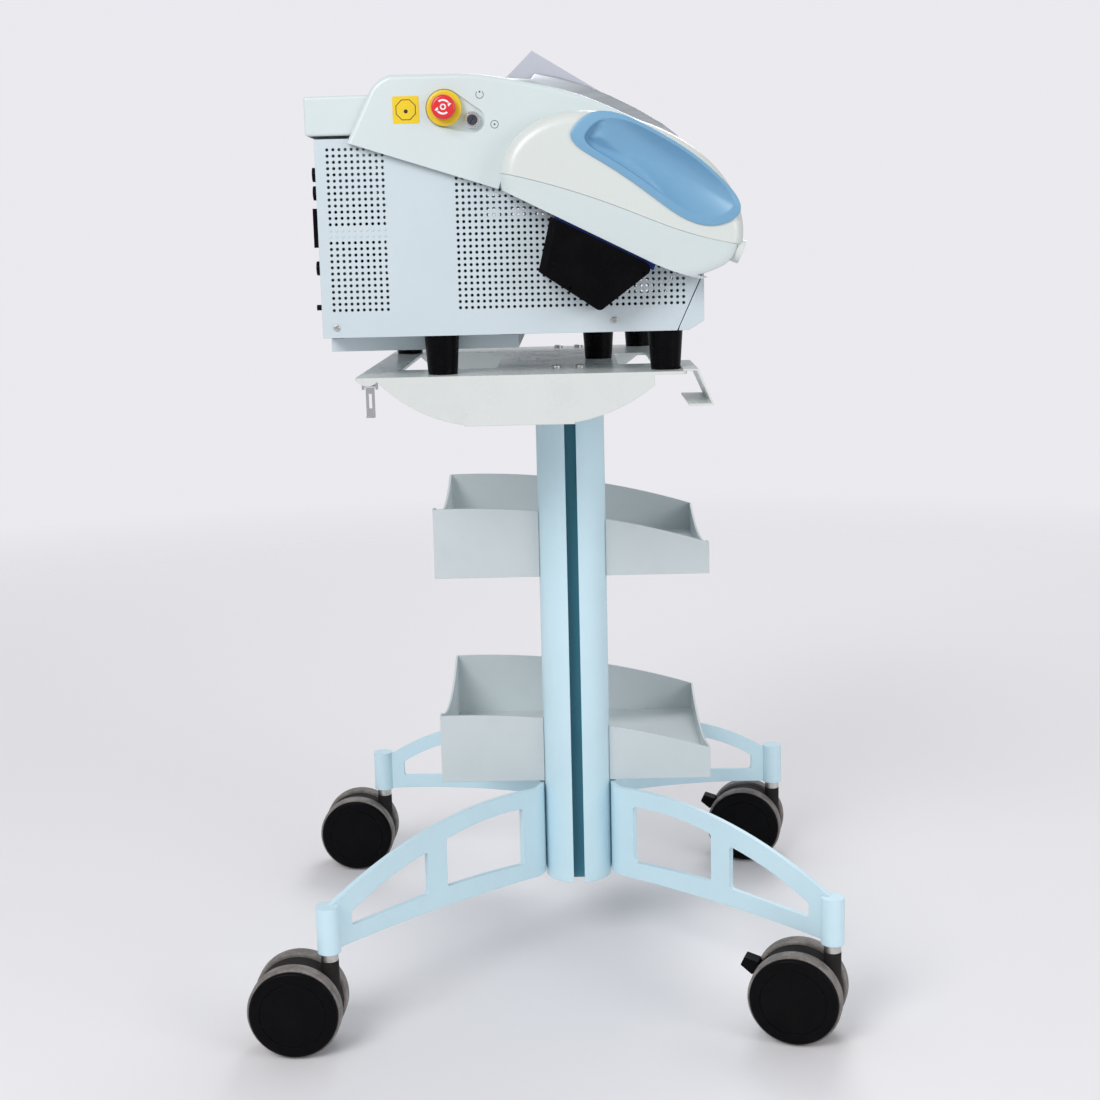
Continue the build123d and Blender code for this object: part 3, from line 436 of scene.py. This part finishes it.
def plate_shape(bm, place, sides, radius, height, turn=0.0, round_off=0.0):
    """A flat polygon plate that stands out along the drawing's +Z."""
    known = set(bm.verts), set(bm.faces)
    made = bmesh.ops.create_circle(bm, cap_ends=True, segments=sides, radius=radius)
    bmesh.ops.rotate(bm, cent=(0, 0, 0), matrix=Matrix.Rotation(math.radians(turn), 3, "Z"),
                     verts=made["verts"])
    if round_off:
        bmesh.ops.bevel(bm, geom=made["verts"], offset=round_off, segments=4, profile=0.5,
                        affect="VERTICES", material=-1)
    faces = [f for f in bm.faces if f not in known[1]]
    raised = bmesh.ops.extrude_face_region(bm, geom=faces)
    top = [g for g in raised["geom"] if isinstance(g, bmesh.types.BMVert)]
    bmesh.ops.translate(bm, vec=(0, 0, height), verts=top)
    bmesh.ops.transform(bm, matrix=place, verts=[v for v in bm.verts if v not in known[0]])


def on_side(x, z, y):
    """Place for a drawing that lies on a plane facing -Y."""
    return Matrix.Translation(at(x, y, z)) @ SIDE_TURN


SHELL_FACE = -218.0            # side of the upper shell, on the -Y side
LABEL_CENTRE = (-155.8, 974.0)
LABEL_THICK, INK_THICK, BUTTON_INK_THICK = 0.25, 0.06 * MM, 0.15 * MM
KEY_MARKS = ((-82.0, 987.0, 40.0), (-68.0, 958.0, 0.0))     # X, Z and half the ring's gap


class OBJECT_OT_console_markings(bpy.types.Operator):
    """Add the plain label, the key position marks and the button's turning arrows"""
    bl_idname = "object.console_markings"
    bl_label = "Markings"

    def execute(self, context):
        c = context.scene.console_colours
        sizes = context.scene.console_sizes
        ink = flat_ink("black_ink", (0.02, 0.02, 0.02))
        self.label(sizes.label, flat_ink("label_vinyl", c.yellow), ink)
        self.key_marks(sizes.symbol / 2, ink)
        self.button_arrows()
        return {"FINISHED"}

    def label(self, side, vinyl, ink):
        """Square label with a plain octagon and dot in place of any wording."""
        x, z = LABEL_CENTRE
        bm = bmesh.new()
        plate_shape(bm, on_side(x, z, SHELL_FACE), 4, side / math.sqrt(2), LABEL_THICK * MM, 45,
                    1.2 * MM)
        finish_piece("side_label", bm, vinyl, "root", False)
        bm = bmesh.new()
        face = SHELL_FACE - LABEL_THICK
        thin_ring(bm, on_side(x, z, face), 10.8 * MM, 10.0 * MM, INK_THICK, 8, 22.5, 382.5)
        plate_shape(bm, on_side(x, z - 1.5, face), 16, 2.0 * MM, INK_THICK)
        finish_piece("label_pictogram", bm, ink, "root", False)

    def key_marks(self, radius, ink):
        """An open and a whole ring, each with a dot, beside the key's two positions."""
        bm = bmesh.new()
        thick, line, dot, dot_lift = 0.08 * MM, 0.55 * MM, 0.9 * MM, 2.6
        for x, z, gap in KEY_MARKS:
            place = on_side(x, z, SHELL_FACE) @ Matrix.Rotation(math.radians(90), 4, "Z")
            thin_ring(bm, place, radius, radius - line, thick, 40, gap, 360.0 - gap)
            dot_z = z + (dot_lift if gap else 0.0)
            plate_shape(bm, on_side(x, dot_z, SHELL_FACE), 12, dot, thick)
        finish_piece("key_position_marks", bm, ink, "root", False)

    def button_arrows(self):
        """Two curved arrows and a centre ring printed on the emergency stop's button."""
        low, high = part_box("estop_head")
        head = Vector(((low.x + high.x) / 2, low.y, (low.z + high.z) / 2))
        bm = bmesh.new()
        base = Matrix.Translation(head) @ SIDE_TURN
        for turn in (0.0, 180.0):
            place = base @ Matrix.Rotation(math.radians(turn), 4, "Z")
            thin_ring(bm, place, 7.4 * MM, 5.6 * MM, BUTTON_INK_THICK, 64, 30.0, 128.0)
            tip = place @ Matrix.Rotation(math.radians(22), 4, "Z")
            tip = tip @ Matrix.Translation((6.5 * MM, 0, 0))
            plate_shape(bm, tip, 3, 2.5 * MM, BUTTON_INK_THICK, -98)
        thin_ring(bm, base, 3.0 * MM, 1.7 * MM, BUTTON_INK_THICK, 32)
        finish_piece("button_arrows", bm, flat_ink("white_ink", (0.85, 0.85, 0.85)),
                     "estop_button", False)


# ------------------------------------------------------------------ dishes and trim
DISH_FACE = -248.6             # the rim's outer edge, on the -Y side
DISH_DEPTH = 15.0
DISH_PLUG = 19.0               # how far the dish's back stands in its pod
RIM_FOCUS, BOWL_MIDDLE = (122, 917), (100, 915)
BOWL_RINGS = 20
POCKET_START, POCKET_END = (24, 938), (98, 884)     # line that the pocket follows
POCKET_WIDTH, POCKET_DEPTH = 17.0, 9.0              # at its upper end
POCKET_REACH = 26.0            # the pocket fades out this far to the side of its line


def cut_outline(bm, node, y):
    """The outer loop that a plane of constant Y cuts from a CAD part, filled with one face."""
    bm.from_mesh(NODES[node].data)
    bmesh.ops.remove_doubles(bm, verts=bm.verts, dist=0.001 * MM)
    bmesh.ops.bisect_plane(bm, geom=[*bm.verts, *bm.edges, *bm.faces], plane_co=at(0, y, 0),
                           plane_no=(0, 1, 0), clear_inner=True, clear_outer=True)
    loop, waiting = set(), [min(bm.verts, key=lambda v: v.co.x)]
    while waiting:
        v = waiting.pop()
        if v not in loop:
            loop.add(v)
            waiting += [e.other_vert(v) for e in v.link_edges]
    bmesh.ops.delete(bm, geom=[v for v in bm.verts if v not in loop], context="VERTS")
    bmesh.ops.remove_doubles(bm, verts=bm.verts, dist=1.5 * MM)
    made = bmesh.ops.contextual_create(bm, geom=list(bm.edges))
    return made["faces"][0]


def shrink(bm, face, factor, centre, inward):
    """Step a face in towards a centre and down into the piece; returns the inner face."""
    made = bmesh.ops.extrude_discrete_faces(bm, faces=[face])
    inner = made["faces"][0]
    place = Matrix.Translation(-centre)
    bmesh.ops.scale(bm, vec=(factor, 1, factor), space=place, verts=inner.verts)
    bmesh.ops.translate(bm, vec=(0, inward * MM, 0), verts=inner.verts)
    return inner


def mirrored(bm):
    """A copy of a left-hand mesh, turned over to the +Y side."""
    other = bm.copy()
    place = Matrix.Translation(-AXIS)
    bmesh.ops.scale(other, vec=(1, -1, 1), space=place, verts=other.verts)
    bmesh.ops.reverse_faces(other, faces=other.faces)
    return other


def make_dish():
    """Shallow bowl in a rim that is widest below and behind, with a finger pocket beside it."""
    bm = bmesh.new()
    back = cut_outline(bm, "left_dish", DISH_FACE + 0.7)
    focus = at(RIM_FOCUS[0], DISH_FACE, RIM_FOCUS[1])
    made = bmesh.ops.extrude_face_region(bm, geom=[back])
    face = next(g for g in made["geom"] if isinstance(g, bmesh.types.BMFace))
    bmesh.ops.translate(bm, vec=(0, -0.6 * MM, 0), verts=face.verts)
    bmesh.ops.translate(bm, vec=(0, 0.8 * MM, 0), verts=back.verts)
    bmesh.ops.inset_region(bm, faces=[back], thickness=2.4 * MM, use_even_offset=True)
    shrink(bm, back, 1.0, focus, DISH_PLUG)
    for step, inward in ((0.3, -0.3), (0.7, -0.3), (1.8, -0.3)):
        bmesh.ops.inset_region(bm, faces=[face], thickness=step * MM, use_even_offset=True)
        bmesh.ops.translate(bm, vec=(0, inward * MM, 0), verts=face.verts)
    face = shrink(bm, face, 0.91, focus, -0.9)
    face = shrink(bm, face, 0.99, focus, 0.1)
    inner_edge = [v.co.copy() for v in face.verts]
    rim = set(bm.verts)
    middle = at(BOWL_MIDDLE[0], DISH_FACE, BOWL_MIDDLE[1])
    reached, radius = 0.0, 1.0
    for ring in range(1, BOWL_RINGS):
        size = 1 - (ring / BOWL_RINGS) ** 1.3
        depth = DISH_DEPTH * (1 - size * size)
        face = shrink(bm, face, size / radius, middle, depth - reached)
        reached, radius = depth, size
    bmesh.ops.poke(bm, faces=[face])
    press_pocket([v for v in bm.verts if v not in rim], inner_edge)
    return bm


def press_pocket(bowl, inner_edge):
    """Push the bowl in along part of its edge: deepest at the edge and at the upper end."""
    start, end = at(POCKET_START[0], 0, POCKET_START[1]), at(POCKET_END[0], 0, POCKET_END[1])
    reach = (end - start).length
    along = (end - start).normalized()
    for v in bowl:
        nearest = min(inner_edge, key=lambda p: (p.x - v.co.x) ** 2 + (p.z - v.co.z) ** 2)
        offset = nearest - start
        offset.y = 0
        run = max(0.0, min(1.0, offset.dot(along) / reach))
        aside = (offset - along * run * reach).length / (POCKET_REACH * MM)
        if aside < 1 and run < 1:
            width = POCKET_WIDTH * MM * (1 - run) ** 0.6
            away = min(1.0, math.hypot(nearest.x - v.co.x, nearest.z - v.co.z) / width)
            v.co.y += (POCKET_DEPTH * MM * (1 - aside * aside) * (1 - run) ** 0.5
                       * (1 - away * away) ** 2)


def strip_solid(bm, points, y0, y1, soften):
    """A side-view polygon given thickness from y0 to y1, with softened edges."""
    verts = [bm.verts.new(at(x, y0, z)) for x, z in points]
    face = bmesh.ops.contextual_create(bm, geom=verts)["faces"][0]
    made = bmesh.ops.extrude_face_region(bm, geom=[face])
    far = [g for g in made["geom"] if isinstance(g, bmesh.types.BMVert)]
    bmesh.ops.translate(bm, vec=(0, (y1 - y0) * MM, 0), verts=far)
    bmesh.ops.bevel(bm, geom=list(bm.edges), offset=soften * MM, segments=3, profile=0.5,
                    affect="EDGES", material=-1)


TRIM_TOP = ((-56, 1005.5), (-31, 1003.6), (-27.6, 1009), (-3, 1004), (24, 995.5), (48, 985),
            (74, 972), (100, 956.5), (116, 944))
TRIM_FOOT = ((112, 938), (74, 956), (48, 968), (14, 981), (-12, 989), (-30, 993), (-56, 999))
GASKET = ((-9, 867.5), (34, 846.5), (82, 820.5), (89, 817), (86.5, 811.5), (79, 816), (30, 843.4),
          (-11, 864))
PIP_PITCH = 6.14               # pitch of the perforated side
PIP_COLUMNS, PIP_ROWS = 10, (13, 14)
PIP_CORNER = (-237.3, 937.6)   # first hole of the perforated side
PIP_FACE, PIP_RADIUS = -210.0, 1.5


class OBJECT_OT_console_trim(bpy.types.Operator):
    """Add the blue dishes, the display's trim, the blind pips and the dock gasket"""
    bl_idname = "object.console_trim"
    bl_label = "Trim"

    def execute(self, context):
        c = context.scene.console_colours
        blue = moulding("blue_soft_touch", c.dish, roughness=0.36, coat=0.12, texture=0.5)
        left = make_dish()
        right = mirrored(left)
        for bm, side in ((left, "left"), (right, "right")):
            piece = finish_piece(f"{side}_grip_dish", bm, blue, "root")
            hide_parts(f"{side}_dish")
            finer = piece.modifiers.new("finer", "SUBSURF")
            finer.levels = finer.render_levels = 2

        pips = bmesh.new()
        for column in range(PIP_COLUMNS):
            for row in PIP_ROWS:
                spot = at(PIP_CORNER[0] + PIP_PITCH * column, PIP_FACE,
                          PIP_CORNER[1] - PIP_PITCH * row)
                made = bmesh.ops.create_uvsphere(pips, u_segments=10, v_segments=6,
                                                 radius=PIP_RADIUS * MM)
                bmesh.ops.scale(pips, vec=(1, 0.4, 1), verts=made["verts"])
                bmesh.ops.translate(pips, vec=spot, verts=made["verts"])
        coat = powder_coat("pip_powder_coat", c.case, wear=0.1).material
        right = mirrored(pips)
        finish_piece("left_blind_pips", pips, coat, "root")
        finish_piece("right_blind_pips", right, coat, "root")

        left = bmesh.new()
        strip_solid(left, (*TRIM_TOP, *TRIM_FOOT), -190.9, -186.3, 0.7)
        metal = brushed_trim()
        right = mirrored(left)
        for bm, side in ((left, "left"), (right, "right")):
            piece = finish_piece(f"{side}_display_strip", bm, metal, "root")
            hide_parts("display_trim")

        bm = bmesh.new()
        strip_solid(bm, GASKET, -246.0, -236.0, 0.5)
        finish_piece("dock_gasket", bm, black_moulding("navy_gasket", c.gasket, 0.35), "root")
        return {"FINISHED"}


# ------------------------------------------------------------------ stage
LAMPS = (                      # name, place, size and power
    ("key", (-1.5, -2.6, 2.5), 1.8, 58.0),
    ("fill", (2.4, -2.0, 1.3), 1.6, 19.0),
    ("back", (0.6, 2.4, 2.6), 1.6, 30.0))
LAMP_TARGET = (0, 0, 620)
CAMERA_PLACE = (3.57, -1920.9, 844.6)
CAMERA_YAW, CAMERA_PITCH, CAMERA_ROLL = 0.0156, 0.1847, -0.0239     # radians
CAMERA_LENS = 54.46


class OBJECT_OT_console_stage(bpy.types.Operator):
    """Lay the studio floor, hang the lights and place the camera"""
    bl_idname = "object.console_stage"
    bl_label = "Stage"

    def execute(self, context):
        scene = context.scene
        scene.view_settings.view_transform = "Standard"
        self.floor(scene)
        self.lights(scene)
        self.camera(scene)
        return {"FINISHED"}

    def floor(self, scene):
        bm = bmesh.new()
        bmesh.ops.create_circle(bm, cap_ends=True, segments=96, radius=9.0)
        mesh = bpy.data.meshes.new("studio_floor")
        bm.to_mesh(mesh)
        bm.free()
        floor = bpy.data.objects.new("studio_floor", mesh)
        s = Shader("studio_floor", Roughness=0.55, Specular_IOR_Level=0.25)
        away = s.node("ShaderNodeVectorMath", {"operation": "LENGTH"}, s.place, out="Value")
        s.feed("Base Color", scene.console_colours.floor)
        s.feed("Alpha", s.spread(away, 0.9, 3.6, 1.0, 0.0))
        mesh.materials.append(s.material)
        scene.collection.objects.link(floor)

    def lights(self, scene):
        world = bpy.data.worlds.new("studio")
        world.use_nodes = True
        tree = world.node_tree
        seen = tree.nodes["Background"]
        seen.inputs["Color"].default_value = (0.83, 0.82, 0.86, 1)
        lighting = tree.nodes.new("ShaderNodeBackground")
        lighting.inputs["Color"].default_value = (0.92, 0.93, 0.97, 1)
        lighting.inputs["Strength"].default_value = 0.55
        path = tree.nodes.new("ShaderNodeLightPath")
        blend = tree.nodes.new("ShaderNodeMixShader")
        tree.links.new(path.outputs["Is Camera Ray"], blend.inputs[0])
        tree.links.new(lighting.outputs[0], blend.inputs[1])
        tree.links.new(seen.outputs[0], blend.inputs[2])
        tree.links.new(blend.outputs[0], tree.nodes["World Output"].inputs["Surface"])
        scene.world = world
        target = at(*LAMP_TARGET)
        for name, place, size, power in LAMPS:
            light = bpy.data.lights.new(name, "AREA")
            light.shape = "DISK"
            light.size = size
            light.energy = power
            lamp = bpy.data.objects.new(name, light)
            lamp.location = place
            lamp.rotation_euler = (target - Vector(place)).to_track_quat("-Z", "Y").to_euler()
            scene.collection.objects.link(lamp)

    def camera(self, scene):
        yaw, pitch, roll = CAMERA_YAW, CAMERA_PITCH, CAMERA_ROLL
        forward = Vector((-math.sin(yaw), math.cos(yaw), 0))
        right = Vector((math.cos(yaw), math.sin(yaw), 0))
        up = Vector((0, 0, 1))
        aim = forward * math.cos(pitch) - up * math.sin(pitch)
        top = up * math.cos(pitch) + forward * math.sin(pitch)
        side = right * math.cos(roll) + top * math.sin(roll)
        head = top * math.cos(roll) - right * math.sin(roll)
        data = bpy.data.cameras.new("camera")
        data.sensor_width = 36.0
        data.lens = CAMERA_LENS
        data.clip_start = 0.05
        camera = bpy.data.objects.new("camera", data)
        turn = Matrix((side, head, -aim)).transposed().to_4x4()
        camera.matrix_world = Matrix.Translation(at(*CAMERA_PLACE)) @ turn
        scene.collection.objects.link(camera)
        scene.camera = camera


# ------------------------------------------------------------------ add-on
STEPS = (OBJECT_OT_console_stage, OBJECT_OT_console_finishes, OBJECT_OT_console_trim,
         OBJECT_OT_console_markings)


class VIEW3D_PT_console(bpy.types.Panel):
    """Colours, sizes and the steps that build the looks"""
    bl_label = "Laser console"
    bl_idname = "VIEW3D_PT_console"
    bl_space_type = "VIEW_3D"
    bl_region_type = "UI"
    bl_category = "Console"

    def draw(self, context):
        for group in (context.scene.console_colours, context.scene.console_sizes):
            for key in group.__annotations__:
                self.layout.prop(group, key)
        for step in STEPS:
            self.layout.operator(step.bl_idname)


CLASSES = (ConsoleColours, ConsoleSizes, *STEPS, VIEW3D_PT_console)


def register():
    for cls in CLASSES:
        bpy.utils.register_class(cls)
    bpy.types.Scene.console_colours = bpy.props.PointerProperty(type=ConsoleColours)
    bpy.types.Scene.console_sizes = bpy.props.PointerProperty(type=ConsoleSizes)


def unregister():
    del bpy.types.Scene.console_sizes
    del bpy.types.Scene.console_colours
    for cls in reversed(CLASSES):
        bpy.utils.unregister_class(cls)


def main():
    register()
    for step in STEPS:
        group, name = step.bl_idname.split(".")
        getattr(getattr(bpy.ops, group), name)()


if __name__ == "__main__":
    main()
